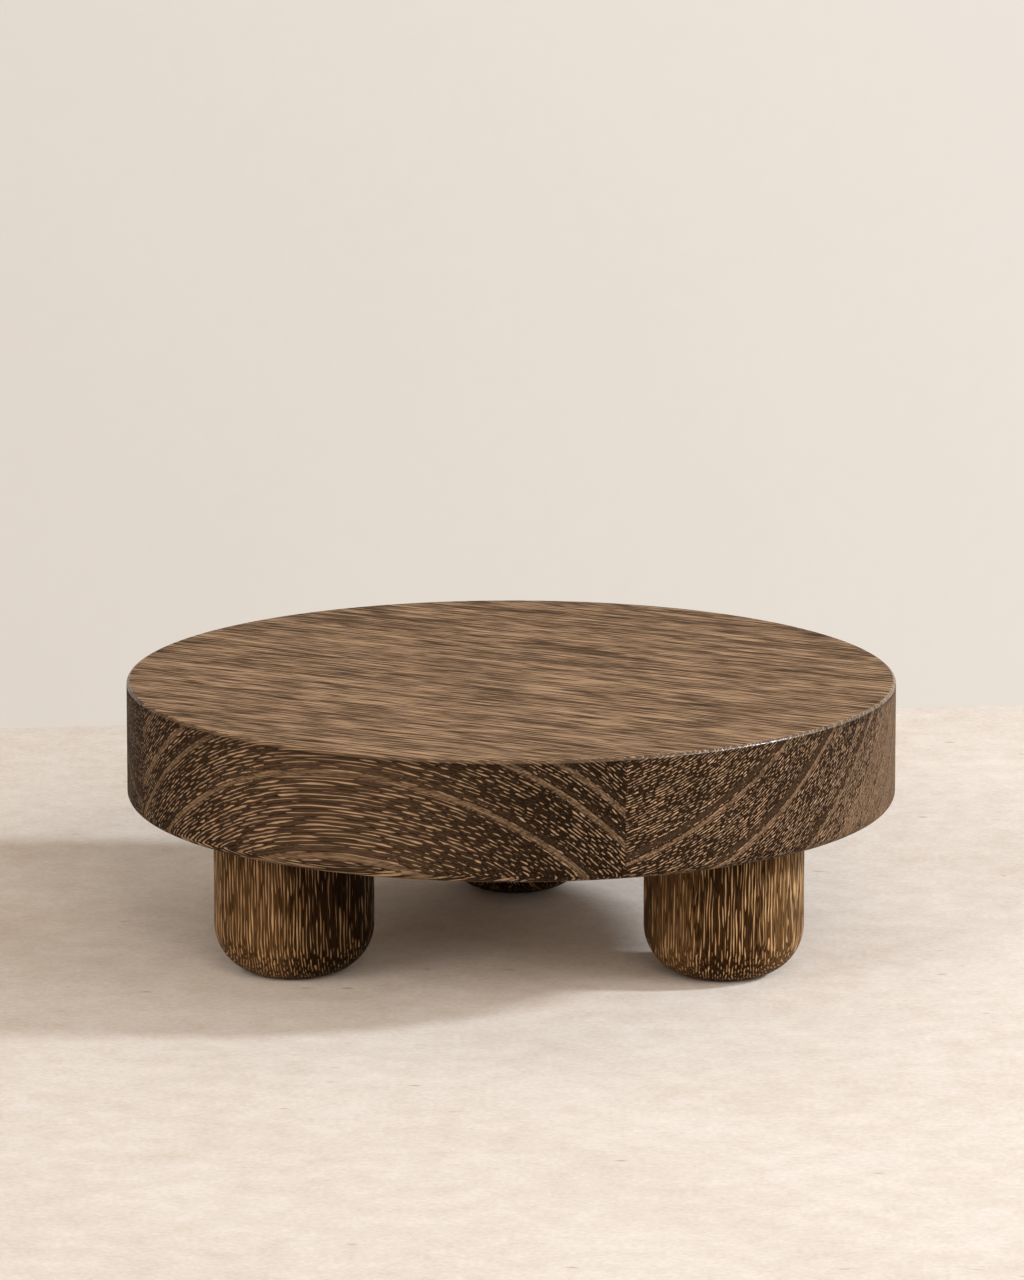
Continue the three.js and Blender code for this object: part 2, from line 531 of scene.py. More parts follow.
    def _hatched_band(self) -> Socket:
        """Colours the wood of a pale band, hatched with fine lines, rays and fibres.

        Returns:
            The colour.
        """
        wiring, given = self.wiring, self.given
        line = wiring.ramp(wiring.grains(self.place, self.LINE_SIZE, *self.FINE_DETAIL), *self.SOFT)
        hatch = wiring.maths("MULTIPLY", self.ray, self.HATCH_RAY)
        hatch = wiring.raised(hatch, line, self.HATCH_LINE)
        hatch = wiring.raised(hatch, self.fibre, self.HATCH_FIBRE)
        hatch = wiring.swayed(hatch, self.ragged, self.HATCH_BAND, 1.0)
        low_tone = wiring.blend(self.LOW_TONE, given["Dark"], given["Mid"])
        high_tone = wiring.blend(self.HIGH_TONE, given["Mid"], given["Light"])
        return wiring.blend(hatch, low_tone, high_tone)


class WoodGroups:
    """The node groups that every wooden piece shares, each made once.

    Sizes are in millimetres along the grain, across it and in the depth of the piece.
    """

    # How far the wood drifts in the log, in long sweeps and in short wavers
    SWEEP_SIZE = (230.0, 85.0, 85.0)
    SWEEP = 2.4
    WAVER_SIZE = (60.0, 17.0, 17.0)
    WAVER = 0.6

    # The streaks of a sanded face: fine ones, broad ones and hairs
    STREAKS = (
        Mottle((48.0, 1.15, 1.15), sway=3.0, detail=3.0, roughness=0.7),
        Mottle((90.0, 11.0, 11.0), sway=0.8, detail=2.0),
        Mottle((15.0, 0.65, 0.65), sway=3.2),
    )

    # How much darker painted shade makes the sanded faces towards the back, by the millimetre, between
    # which tones their colours turn, and how level a face is where it is sanded
    FACE_PAINTED_SHADE = 0.0004
    DARK_TONES = (0.1, 0.5)
    LIGHT_TONES = (0.5, 0.9)
    LEVEL = (0.88, 0.99)

    # Where the eased edge sets in, how far across the grain it is burnished, and how far down the painted
    # shade line under it reaches, by the edge's own reach
    EDGE = (0.02, 0.3)
    END_GRAIN = (0.55, 0.9)
    SHADE_LINE_REACH = -3.0

    def __init__(self) -> None:
        """Makes the groups."""
        self.log_place = self._log_place()
        self.flecked_wood = FleckedWood().tree
        self.streaked_face = self._streaked_face()
        self.eased_edge = self._eased_edge()

    def _log_place(self) -> NodeTree:
        """Makes the group that finds where a point was in the log.

        Returns:
            The group. It tells how far the point was from the pith, round it and along it, and how flat to
            the rings the surface is cut there.
        """
        numbers = ("Pith Across", "Pith Depth", "Pith Distance", "Run Out", "Wander")
        wiring, given, leave = shader_group(
            "Log place",
            {"Place": "Vector", "Facing": "Vector", **dict.fromkeys(numbers, "Float")},
            {"Millimetres": "Vector", **dict.fromkeys(LOG_MEASURES, "Float")},
        )
        millimetres = wiring.scaled(given["Place"], 1 / MM)
        along, across, depth = wiring.parted(millimetres)
        drifts = []
        for size, sway in ((self.SWEEP_SIZE, self.SWEEP), (self.WAVER_SIZE, self.WAVER)):
            drifting = wiring.noise(wiring.stretched(millimetres, size))
            centred = wiring.vectors("SUBTRACT", drifting.outputs["Color"], (0.5, 0.5, 0.5))
            drifts.append(wiring.scaled(centred, sway))
        drift = wiring.scaled(wiring.vectors("ADD", *drifts), given["Wander"])
        _, drift_across, drift_depth = wiring.parted(drift)
        bent_across = wiring.maths("ADD", across, drift_across)
        bent_depth = wiring.maths("ADD", depth, drift_depth)
        sloped = wiring.maths("SUBTRACT", bent_depth, wiring.maths("MULTIPLY", along, given["Run Out"]))
        from_pith_across = wiring.maths("SUBTRACT", bent_across, given["Pith Across"])
        from_pith_depth = wiring.maths("SUBTRACT", sloped, given["Pith Depth"])
        outward = wiring.joined(0.0, from_pith_across, from_pith_depth)
        radius = wiring.measured("LENGTH", outward)
        leaning = wiring.measured("DOT_PRODUCT", outward, given["Facing"])
        angle = wiring.maths("ARCTAN2", from_pith_across, from_pith_depth)
        results = {
            "Millimetres": wiring.joined(along, bent_across, bent_depth),
            "Radius": radius,
            "Around": wiring.maths("MULTIPLY", angle, given["Pith Distance"]),
            "Along": along,
            "Tangential": wiring.maths("ABSOLUTE", wiring.maths("DIVIDE", leaning, radius)),
        }
        wiring.feed(leave, results)
        return wiring.tree

    def _streaked_face(self) -> NodeTree:
        """Makes the group that lays soft streaks over a level face, sanded along the grain, with painted
        shade darkening it towards the back.

        Returns:
            The group, which leaves other faces as they are.
        """
        wiring, given, leave = shader_group(
            "Streaked face",
            {"Millimetres": "Vector", "Color": "Color", **PALETTE_KINDS},
            {"Color": "Color"},
        )
        _, across, _ = wiring.parted(given["Millimetres"])
        # Painted shade: the face darkens towards the back.
        leaning = wiring.raised(0.5, across, -self.FACE_PAINTED_SHADE)
        tone = wiring.mottled(leaning, given["Millimetres"], self.STREAKS)
        lower = wiring.blend(wiring.ramp(tone, *self.DARK_TONES), given["Dark"], given["Mid"])
        streaked = wiring.blend(wiring.ramp(tone, *self.LIGHT_TONES), lower, given["Light"])
        _, _, upward = wiring.parted(wiring.point("Normal"))
        level = wiring.ramp(wiring.maths("ABSOLUTE", upward), *self.LEVEL)
        wiring.feed(leave, {"Color": wiring.blend(level, given["Color"], streaked)})
        return wiring.tree

    def _eased_edge(self) -> NodeTree:
        """Makes the group that finds the top's eased upper edge.

        Returns:
            The group. It tells where the edge is, where it is burnished, and the painted shade line under
            it.
        """
        wiring, given, leave = shader_group(
            "Eased edge",
            {"Rim Radius": "Float", "Rim Height": "Float", "Reach": "Float", "Grain": "Vector"},
            {"Mask": "Float", "Burnish": "Float", "Line": "Float"},
        )
        radius, height, reach = (given[name] for name in ("Rim Radius", "Rim Height", "Reach"))
        x, y, z = wiring.parted(wiring.point("Object"))
        level = wiring.joined(x, y, 0.0)
        inner = wiring.maths("SUBTRACT", radius, reach)
        lower = wiring.maths("SUBTRACT", height, reach)
        near_rim = wiring.ramp(wiring.measured("LENGTH", level), inner, radius)
        near_face = wiring.ramp(z, lower, height)
        mask = wiring.ramp(wiring.maths("MULTIPLY", near_rim, near_face), *self.EDGE)
        crossing = wiring.measured("DOT_PRODUCT", level, given["Grain"])
        crossed = wiring.maths("ABSOLUTE", wiring.maths("DIVIDE", crossing, radius))
        # Painted shade: a dark line just under the eased edge.
        rising = wiring.ramp(z, wiring.raised(height, reach, self.SHADE_LINE_REACH), lower)
        falling = wiring.ramp(z, height, lower)
        results = {
            "Mask": mask,
            "Burnish": wiring.maths("MULTIPLY", mask, wiring.ramp(crossed, *self.END_GRAIN)),
            "Line": wiring.maths("MULTIPLY", rising, falling),
        }
        wiring.feed(leave, results)
        return wiring.tree


# Finishes


@dataclass(frozen=True)
class Palette:
    """The colours of one piece of wood, darkest first."""

    dark: Colour
    mid: Colour
    light: Colour

    def feeds(self) -> Feeds:
        """Gives the colours by the names of a group's inputs."""
        return {"Dark": self.dark, "Mid": self.mid, "Light": self.light}


@dataclass(frozen=True)
class Flecks:
    """The pale flecks of one piece of wood, in millimetres.

    Spacing is across the rings, width round them and length along the grain. The share, about a half, sets
    how much of the wood they take up, the ripple how far their rows sway, in rows, and the breaks how far a
    row falls apart into dashes. Where they thin out, between two places, the share falls to the thin share
    and painted shade darkens all of the wood by the thin painted shade.
    """

    spacing: float
    width: float
    length: float
    share: float
    ripple: float
    breaks: float = 1.0
    thinning: Thinning = Thinning.WITH_THE_GRAIN
    thin_share: float = 0.5
    thin_painted_shade: float = 1.0
    thin_from: float = FAR
    thin_to: float = FAR + 1.0


@dataclass(frozen=True)
class Bands:
    """The pale and the dark band that mark a growth ring, in millimetres.

    The two lie side by side. The inner one ends, and the outer one starts, at the ring's own distance from
    the pith. The veil is how far the pale band hides the flecks in it, and the lift how far it lightens the
    wood between them. The dark band is darkest where it is 0 deep, and is left out at a half.
    """

    inner: float = 1.4
    outer: float = 0.8
    pale_inside: bool = True
    edge: float = 0.8
    fade: float = 1.1
    veil: float = 0.65
    lift: float = 0.4
    deep: float = 0.1

    def profile(self) -> list[tuple[float, float]]:
        """Draws the bands of one ring.

        Returns:
            The band's values, each with its distance outwards from the ring.
        """
        first, second = (1.0, self.deep) if self.pale_inside else (self.deep, 1.0)
        half = self.edge / 2
        return [
            (-self.inner - self.fade, FLECKED),
            (-self.inner, first),
            (-half, first),
            (half, second),
            (self.outer, second),
            (self.outer + self.fade, FLECKED),
        ]


@dataclass(frozen=True)
class Timber:
    """How one piece was cut from the log, in millimetres, and how its wood looks.

    The pith is placed across the piece and in its depth, from the piece's own origin. The rings are the
    distances from the pith at which two bands meet. The side lift is how far the dark wood lightens where
    it is cut along the grain. The wood is pale throughout from the sapwood outwards.
    """

    grain: Grain
    pith_across: float
    pith_depth: float
    pith_distance: float
    run_out: float
    start_along: float
    wander: float
    rings: tuple[float, ...]
    bands: Bands
    flecks: Flecks
    palette: Palette
    side_lift: float = 0.1
    sapwood: float = FAR

    # How far outwards sapwood takes to turn fully pale, how pale that is where the wood's band is 0, and
    # how much of the band is left in it
    SAPWOOD_BLEND = 28.0
    SAPWOOD_PALENESS = 0.74
    SAPWOOD_BAND = 0.26

    # The oiled surface: its gloss, how much of its relief shows, and how deep that is, in metres
    GLOSS = 0.02
    RELIEF = (0.35, 0.25 * MM)

    # The eased edge: how dark the painted shade line under it is, how far it is made pale by wear and a
    # painted highlight, and how far and to what roughness its end grain is burnished
    EDGE_SHADE_LINE = 0.4
    EDGE_WEAR_AND_HIGHLIGHT = 0.15
    EDGE_BURNISH = 0.9
    BURNISH_ROUGHNESS = 0.22

    def material(
        self, groups: WoodGroups, name: str, origin: Vector, face: Optional[Palette] = None
    ) -> Material:
        """Makes the material.

        Args:
            groups: The wood's node groups.
            name: The material's name.
            origin: The piece's own origin, in the frame.
            face: The colours of the sanded flat faces, partly their own and partly painted sheen, if the
                piece has any.

        Returns:
            The new material.
        """
        made, wiring, shader = new_material(name)
        place = self._log_place(wiring, groups, origin)
        flecks = self.flecks
        values = {
            **{measure: place.outputs[measure] for measure in LOG_MEASURES},
            "Band": self._band(wiring, place.outputs["Radius"]),
            "Veil": self.bands.veil,
            "Lift": self.bands.lift,
            "Side Lift": self.side_lift,
            "Grain": self.grain.direction,
            "Spacing": flecks.spacing,
            "Width": flecks.width,
            "Length": flecks.length,
            "Ripple": flecks.ripple,
            "Breaks": flecks.breaks,
            "Share": self._thinned(wiring, place, flecks.share, flecks.thin_share),
            **self.palette.feeds(),
        }
        wood = wiring.group(groups.flecked_wood, values)
        # Painted shade: all of the wood darkens where the flecks thin out.
        shade = self._thinned(wiring, place, 1.0, flecks.thin_painted_shade)
        colour = wiring.blend(1.0, wood.outputs["Color"], wiring.joined(shade, shade, shade), "MULTIPLY")
        if face:
            values = {"Millimetres": place.outputs["Millimetres"], "Color": colour, **face.feeds()}
            streaked = wiring.group(groups.streaked_face, values).outputs["Color"]
            colour = self._worn_edge_and_painted_light(wiring, groups, shader, streaked, face)
        values = {
            "Base Color": colour,
            "Roughness": wood.outputs["Roughness"],
            "Normal": wiring.relief(wood.outputs["Height"], *self.RELIEF),
            "Specular IOR Level": self.GLOSS,
        }
        wiring.feed(shader, values)
        return made

    def _worn_edge_and_painted_light(
        self, wiring: Wiring, groups: WoodGroups, shader: Node, colour: Socket, face: Palette
    ) -> Socket:
        """Wears and burnishes the top's eased upper edge, and paints a shade line under it and a highlight
        on it.

        Args:
            wiring: The material's wiring.
            groups: The wood's node groups.
            shader: The material's shader, which gets the burnish.
            colour: The colour of the wood.
            face: The colours of the sanded flat faces, partly their own and partly painted sheen.

        Returns:
            The colour with the edge in it.
        """
        values = {
            "Rim Radius": RIM_RADIUS,
            "Rim Height": RIM_HEIGHT,
            "Reach": EDGE_REACH,
            "Grain": self.grain.direction,
        }
        edge = wiring.group(groups.eased_edge, values).outputs
        burnish = wiring.maths("MULTIPLY", edge["Burnish"], self.EDGE_BURNISH)
        wiring.feed(shader, {"Coat Weight": burnish, "Coat Roughness": self.BURNISH_ROUGHNESS})
        # Painted shade: the line under the edge darkens towards the dark colour.
        line = wiring.maths("MULTIPLY", edge["Line"], self.EDGE_SHADE_LINE)
        # A pale band on the edge, partly wear and partly painted highlight.
        wear_and_highlight = wiring.maths("MULTIPLY", edge["Mask"], self.EDGE_WEAR_AND_HIGHLIGHT)
        return wiring.blend(wear_and_highlight, wiring.blend(line, colour, self.palette.dark), face.light)

    def _log_place(self, wiring: Wiring, groups: WoodGroups, origin: Vector) -> Node:
        """Adds the nodes that turn a point of the piece into its place in the log.

        Args:
            wiring: The material's wiring.
            groups: The wood's node groups.
            origin: The piece's own origin, in the frame.

        Returns:
            The node that places the point.
        """
        own = wiring.vectors("SUBTRACT", wiring.point("Object"), tuple(origin))
        turn = {"Rotation": self.grain.value}
        start = {"Vector": own, "Location": (self.start_along * MM, 0.0, 0.0), **turn}
        facing = {"Vector": wiring.point("Normal"), **turn}
        values = {
            "Place": wiring.fed("ShaderNodeMapping", start).outputs["Vector"],
            "Facing": wiring.fed("ShaderNodeMapping", facing, vector_type="VECTOR").outputs["Vector"],
            "Pith Across": self.pith_across,
            "Pith Depth": self.pith_depth,
            "Pith Distance": self.pith_distance,
            "Run Out": self.run_out,
            "Wander": self.wander,
        }
        return wiring.group(groups.log_place, values)

    def _thinned(self, wiring: Wiring, place: Node, full: float, thin: float) -> Socket:
        """Turns a number from its full value to its thin one where the flecks thin out."""
        measure = place.outputs[self.flecks.thinning.value]
        return wiring.ramp(measure, self.flecks.thin_from, self.flecks.thin_to, full, thin)

    def _band(self, wiring: Wiring, radius: Socket) -> Socket:
        """Adds the nodes that tell pale bands, dark bands and flecked wood apart.

        Args:
            wiring: The material's wiring.
            radius: The distance from the pith.

        Returns:
            The band at that distance.
        """
        profile = self.bands.profile()
        first = self.rings[0] + profile[0][0]
        last = self.rings[-1] + profile[-1][0]
        share = wiring.maths("DIVIDE", wiring.maths("SUBTRACT", radius, first), last - first)
        counter = wiring.fed("ShaderNodeFloatCurve", {"Value": share})
        curve = counter.mapping.curves[0]
        curve.points[0].location = (0.0, FLECKED)
        curve.points[1].location = (1.0, FLECKED)
        inside = [(ring + offset, value) for ring in self.rings for offset, value in profile][1:-1]
        for distance, value in inside:
            curve.points.new((distance - first) / (last - first), value)
        for point in curve.points:
            point.handle_type = "VECTOR"
        counter.mapping.update()
        band = counter.outputs[0]
        faded = wiring.raised(self.SAPWOOD_PALENESS, band, self.SAPWOOD_BAND)
        return wiring.ramp(radius, self.sapwood, self.sapwood + self.SAPWOOD_BLEND, band, faded)


def evenly(first: float, step: float, count: int) -> tuple[float, ...]:
    """Spaces rings evenly outwards from the first one."""
    return tuple(first + step * index for index in range(count))


BOARD_PALETTE = Palette(
    dark=(0.0095, 0.0046, 0.0017, 1.0), mid=(0.092, 0.055, 0.032, 1.0), light=(0.415, 0.27, 0.167, 1.0)
)
CENTRE_PALETTE = Palette(
    dark=(0.0095, 0.0046, 0.0016, 1.0), mid=(0.096, 0.056, 0.032, 1.0), light=(0.385, 0.25, 0.156, 1.0)
)
# The sanded flat faces: lighter, greyer and softer in contrast than the rim, partly their own tone and
# partly painted sheen
FACE_AND_SHEEN_PALETTE = Palette(
    dark=(0.041, 0.0226, 0.0103, 1.0), mid=(0.142, 0.083, 0.0465, 1.0), light=(0.415, 0.27, 0.164, 1.0)
)
FOOT_PALETTE = Palette(
    dark=(0.0105, 0.004, 0.0011, 1.0), mid=(0.107, 0.0535, 0.019, 1.0), light=(0.5, 0.306, 0.156, 1.0)
)
FOOT_FLECKS = Flecks(spacing=1.15, width=3.6, length=21.0, share=0.57, ripple=1.8)

BOARD_TIMBERS = {
    Board.FRONT: Timber(
        grain=Grain.ALONG_THE_BOARDS,
        pith_across=-453.0, pith_depth=-167.0, pith_distance=400.0,
        run_out=0.043, start_along=40.0, wander=1.0,
        rings=(338.7, 359.7, 380.7, 401.7, 416.2, 423.2, 435.7, 448.7),
        bands=Bands(),
        flecks=Flecks(
            spacing=0.95, width=4.2, length=40.0, share=0.6, ripple=1.3, breaks=0.9,
            # painted shade darkens the board's wood from 10 mm to 125 mm along the grain
            thin_share=0.53, thin_painted_shade=0.75, thin_from=10.0, thin_to=125.0,
        ),
        palette=BOARD_PALETTE,
        side_lift=0.55,
    ),
    Board.CENTRE: Timber(
        grain=Grain.ALONG_THE_BOARDS,
        pith_across=-250.0, pith_depth=350.0, pith_distance=320.0,
        run_out=0.0, start_along=310.0, wander=1.2,
        rings=(277.0, 315.0, 334.0, *evenly(357.0, 12.4, 10)),
        bands=Bands(inner=2.6, outer=1.3, pale_inside=False, edge=0.5, fade=1.0, veil=0.6),
        flecks=Flecks(
            spacing=0.94, width=3.4, length=24.0, share=0.565, ripple=1.6, breaks=0.85,
            thin_share=0.48, thin_from=250.0, thin_to=170.0,
        ),
        palette=CENTRE_PALETTE,
        sapwood=349.0,
    ),
    Board.BACK: Timber(
        grain=Grain.ALONG_THE_BOARDS,
        pith_across=420.0, pith_depth=-190.0, pith_distance=400.0,
        run_out=-0.03, start_along=-260.0, wander=1.1,
        rings=evenly(330.0, 14.5, 12),
        bands=Bands(),
        flecks=Flecks(spacing=0.95, width=4.2, length=40.0, share=0.56, ripple=1.4),
        palette=BOARD_PALETTE,
    ),
}

FOOT_TIMBERS = {
    FootPlace.FRONT_LEFT: Timber(
        grain=Grain.UPRIGHT,
        pith_across=-20.0, pith_depth=70.0, pith_distance=70.0,
        run_out=0.01, start_along=0.0, wander=0.5,
        rings=(72.0, 180.0),
        bands=Bands(inner=44.0, outer=10.0, edge=16.0, fade=4.0, veil=0.1, lift=0.4, deep=0.5),
        flecks=Flecks(
            spacing=1.2, width=3.6, length=22.0, share=0.63, ripple=1.8, breaks=0.95,
            # painted shade darkens the foot's outer half, from 62 mm to 88 mm from the pith
            thinning=Thinning.OUTWARDS, thin_share=0.52, thin_painted_shade=0.52, thin_from=62.0, thin_to=88.0,
        ),
        palette=FOOT_PALETTE,
    ),
    FootPlace.FRONT_RIGHT: Timber(
        grain=Grain.UPRIGHT,
        pith_across=-25.0, pith_depth=-75.0, pith_distance=80.0,
        run_out=-0.01, start_along=140.0, wander=0.5,
        rings=(86.0,),
        bands=Bands(
            inner=10.0, outer=44.0, pale_inside=False, edge=16.0, fade=4.0, veil=0.15, lift=0.65, deep=0.4
        ),
        flecks=FOOT_FLECKS,
        palette=FOOT_PALETTE,
    ),
    FootPlace.BACK: Timber(
        grain=Grain.UPRIGHT,
        pith_across=20.0, pith_depth=75.0, pith_distance=80.0,
        run_out=0.02, start_along=290.0, wander=0.5,
        rings=evenly(30.0, 14.0, 8),
        bands=Bands(inner=1.2, outer=2.0, fade=1.5, veil=0.5),
        flecks=FOOT_FLECKS,
        palette=FOOT_PALETTE,
    ),
}


@dataclass(frozen=True)
class DowelWood:
    """Bare, pale, close-grained wood with short darker rays.

    Grain and rays are counted by the metre, and set in over a range of their noise.
    """

    name: str = "dowel_wood"
    pale: Colour = (0.6, 0.42, 0.24, 1.0)
    deep: Colour = (0.44, 0.28, 0.14, 1.0)
    grain: Size = (1500.0, 1500.0, 60.0)
    grain_range: tuple[float, float] = (0.35, 0.7)
    rays: Size = (4000.0, 4000.0, 700.0)
    ray_range: tuple[float, float] = (0.6, 0.7)
    roughness: float = 0.7
    deep_roughness: float = 0.1

    def material(self) -> Material:
        """Makes the material.

        Returns:
            The new material.
        """
        made, wiring, shader = new_material(self.name)
        at = wiring.point("Object")
        grain = wiring.noise(wiring.vectors("MULTIPLY", at, self.grain), detail=3.0).outputs["Fac"]
        rays = wiring.noise(wiring.vectors("MULTIPLY", at, self.rays)).outputs["Fac"]
        grain_shade = wiring.ramp(grain, *self.grain_range)
        shade = wiring.maths("MAXIMUM", grain_shade, wiring.ramp(rays, *self.ray_range))
        values = {
            "Base Color": wiring.blend(shade, self.pale, self.deep),
            "Roughness": wiring.raised(self.roughness, shade, self.deep_roughness),
        }
        wiring.feed(shader, values)
        return made


# The matt surface of the studio's floor and wall
MATT = {"Roughness": 0.9, "Specular IOR Level": 0.1}


@dataclass(frozen=True)
class Plaster:
    """A pale, softly mottled studio wall, its sizes in metres.

    The depth is how deep its tone is at the frame's origin, and the painted light lean how that changes
    along X,
    Y and Z by the metre: painted light and shade that pale it to the right and upwards. It is mottled with
    patches and specks.
    """

    name: str = "wall_plaster"
    pale: Colour = (0.87, 0.8, 0.73, 1.0)
    deep: Colour = (0.74, 0.668, 0.592, 1.0)
    depth: float = 0.72
    painted_light_lean: Size = (-1.39, 0.0, -0.9)
    mottles: tuple[Mottle, ...] = (
        Mottle((0.3, 0.3, 0.3), sway=0.24, detail=4.0),
        Mottle((0.01, 0.01, 0.01), sway=0.16, detail=3.0, roughness=0.65),
    )

    def material(self) -> Material:
        """Makes the material.

        Returns:
            The new material.
        """
        made, wiring, shader = new_material(self.name)
        at = wiring.point("Object")
        # Painted light and shade: the wall pales to the right and upwards.
        tone = wiring.maths("ADD", wiring.measured("DOT_PRODUCT", at, self.painted_light_lean), self.depth)
        shade = wiring.mottled(tone, at, self.mottles)
        wiring.feed(shader, {"Base Color": wiring.blend(shade, self.pale, self.deep), **MATT})
        return made


@dataclass(frozen=True)
class Stone:
    """Pale stone with soft patches, clouds and fine grain, and a few small tan pits, its sizes in metres.

    A pit's size is a share of the pitch. The pits are drawn out along X by being sparser there.
    """

    name: str = "floor_stone"
    pale: Colour = (0.8, 0.748, 0.703, 1.0)
    deep: Colour = (0.676, 0.601, 0.539, 1.0)
    pit: Colour = (0.45, 0.32, 0.21, 1.0)
    patches: Mottle = Mottle((0.09, 0.09, 0.09), sway=1.2, detail=3.0, roughness=0.6)
    clouds: Mottle = Mottle((0.014, 0.014, 0.014), sway=1.6, detail=3.0, roughness=0.6)
    grain: Mottle = Mottle((0.0024, 0.0024, 0.0024), sway=1.6, detail=2.0, roughness=0.6)
    pit_pitch: float = 0.007
    pit_size: float = 0.26
    least_pit: float = 0.03
    pit_density: Size = (0.45, 1.0, 1.0)
    pitted_share: float = 0.2
    relief: tuple[float, float] = (0.2, 0.4 * MM)

    def material(self) -> Material:
        """Makes the material.

        Returns:
            The new material.
        """
        made, wiring, shader = new_material(self.name)
        at = wiring.point("Object")
        tone = wiring.mottled(0.5, at, (self.patches, self.clouds, self.grain))
        bed = wiring.blend(tone, self.pale, self.deep)
        values = {"Vector": wiring.vectors("MULTIPLY", at, self.pit_density), "Scale": 1 / self.pit_pitch}
        cells = wiring.fed("ShaderNodeTexVoronoi", values)
        chance, depth, _ = wiring.parted(cells.outputs["Color"])
        bare_share = 1 - self.pitted_share
        size = wiring.ramp(chance, bare_share, 1.0, self.least_pit, self.pit_size)
        pitted = wiring.maths("GREATER_THAN", chance, bare_share)
        inside = wiring.ramp(cells.outputs["Distance"], size, 0.0)
        pits = wiring.maths("MULTIPLY", wiring.maths("MULTIPLY", pitted, inside), depth)
        grains = wiring.grains(at, self.grain.size, self.grain.detail, self.grain.roughness)
        height = wiring.maths("SUBTRACT", grains, pits)
        values = {
            "Base Color": wiring.blend(pits, bed, self.pit),
            "Normal": wiring.relief(height, *self.relief),
            **MATT,
        }
        wiring.feed(shader, values)
        return made


# Meshes

# How far the rings of a flat face crowd towards its edge, where 1 spreads them evenly
FACE_CROWDING = 0.6

# The angle between two faces from which their edge is sharp
SHARP_ANGLE = math.radians(40.0)


@dataclass(frozen=True)
class Ring:
    """One ring of a turned mesh: its radius, its height and how many points it has."""

    radius: float
    height: float
    count: int


def arc(centre: Ring, radius: float, start: float, end: float, steps: int) -> list[Ring]:
    """Makes the rings of a rounded edge.

    Args:
        centre: The radius and height of the round's own centre, and how many points each ring has.
        radius: The round's radius.
        start: Its first angle, from outwards towards up.
        end: Its last angle.
        steps: How many strips it has.

    Returns:
        The rings, with both ends among them.
    """
    rings = []
    for step in range(steps + 1):
        angle = start + (end - start) * step / steps
        out, up = radius * math.cos(angle), radius * math.sin(angle)
        rings.append(Ring(centre.radius + out, centre.height + up, centre.count))
    return rings


def upright(radius: float, bottom: float, top: float, rows: int, count: int) -> list[Ring]:
    """Makes the rings of an upright side, between its two ends, which aren't among them."""
    return [Ring(radius, bottom + (top - bottom) * row / rows, count) for row in range(1, rows)]


def halving(edge: Ring, fewest: int) -> list[Ring]:
    """Makes the rings of a flat face, from its edge inwards, with half as many points each time.

    Args:
        edge: The face's edge, which isn't among the rings.
        fewest: How many points the last ring has.

    Returns:
        The rings, widest first.
    """
    rings = []
    halves = int(math.log2(edge.count / fewest))
    for half in range(1, halves + 1):
        share = (1 - half / (halves + 1)) ** FACE_CROWDING
        rings.append(Ring(edge.radius * share, edge.height, edge.count >> half))
    return rings


def turned_mesh(rings: Sequence[Ring], centre: Vector) -> Mesh:
    """Turns rings into a closed mesh about an upright axis.

    Args:
        rings: The rings from the axis at the bottom, out, up and back to the axis. Next to one another, two
            rings have as many points, or one has twice as many as the other.
        centre: Where the axis meets the floor.

    Returns:
        The mesh, facing outwards.
    """
    mesh = bmesh.new()
    rows: list[Row] = []
    for ring in rings:
        row = []
        for index in range(ring.count):
            angle = math.tau * index / ring.count
            x = centre.x + ring.radius * math.cos(angle)
            y = centre.y + ring.radius * math.sin(angle)
            row.append(mesh.verts.new((x, y, centre.z + ring.height)))
        rows.append(row)
    for lower, upper in zip(rows, rows[1:]):
        join_rows(mesh, lower, upper)
    for row, ring in ((rows[0], rings[0]), (rows[-1], rings[-1])):
        pole = mesh.verts.new((centre.x, centre.y, centre.z + ring.height))
        for index, point in enumerate(row):
            mesh.faces.new((pole, point, row[(index + 1) % len(row)]))
    bmesh.ops.recalc_face_normals(mesh, faces=mesh.faces)
    return mesh


def join_rows(mesh: Mesh, lower: Row, upper: Row) -> None:
    """Skins two rows of points, with triangles where one row has twice as many as the other.

    Args:
        mesh: The mesh.
        lower: The points of one row.
        upper: The points of the next row.
    """
    fine, coarse = (lower, upper) if len(lower) >= len(upper) else (upper, lower)
    for index, start in enumerate(coarse):
        end = coarse[(index + 1) % len(coarse)]
        if len(fine) == len(coarse):
            mesh.faces.new((start, end, fine[(index + 1) % len(fine)], fine[index]))
            continue
        first, middle, last = (fine[(2 * index + step) % len(fine)] for step in range(3))
        mesh.faces.new((start, middle, first))
        mesh.faces.new((start, end, middle))
        mesh.faces.new((end, last, middle))


def shown_object(name: str, data: bpy.types.ID) -> bpy.types.Object:
    """Makes an object of a mesh, a lamp or a camera, and shows it.

    Args:
        name: The object's name.
        data: What it is made of.

    Returns:
        The new object.
    """
    made = bpy.data.objects.new(name, data)
    bpy.context.scene.collection.objects.link(made)
    return made


def finished_object(name: str, mesh: Mesh, material: Material) -> bpy.types.Object:
    """Makes a shown object of a mesh, smooth but for its sharp edges.

    Args:
        name: The object's name.
        mesh: Its mesh, which is used up.
        material: Its material.

    Returns:
        The new object.
    """
    data = bpy.data.meshes.new(name)
    mesh.to_mesh(data)
    mesh.free()
    data.materials.append(material)
    data.shade_smooth()
    data.set_sharp_from_angle(angle=SHARP_ANGLE)
    return shown_object(name, data)


# The riser


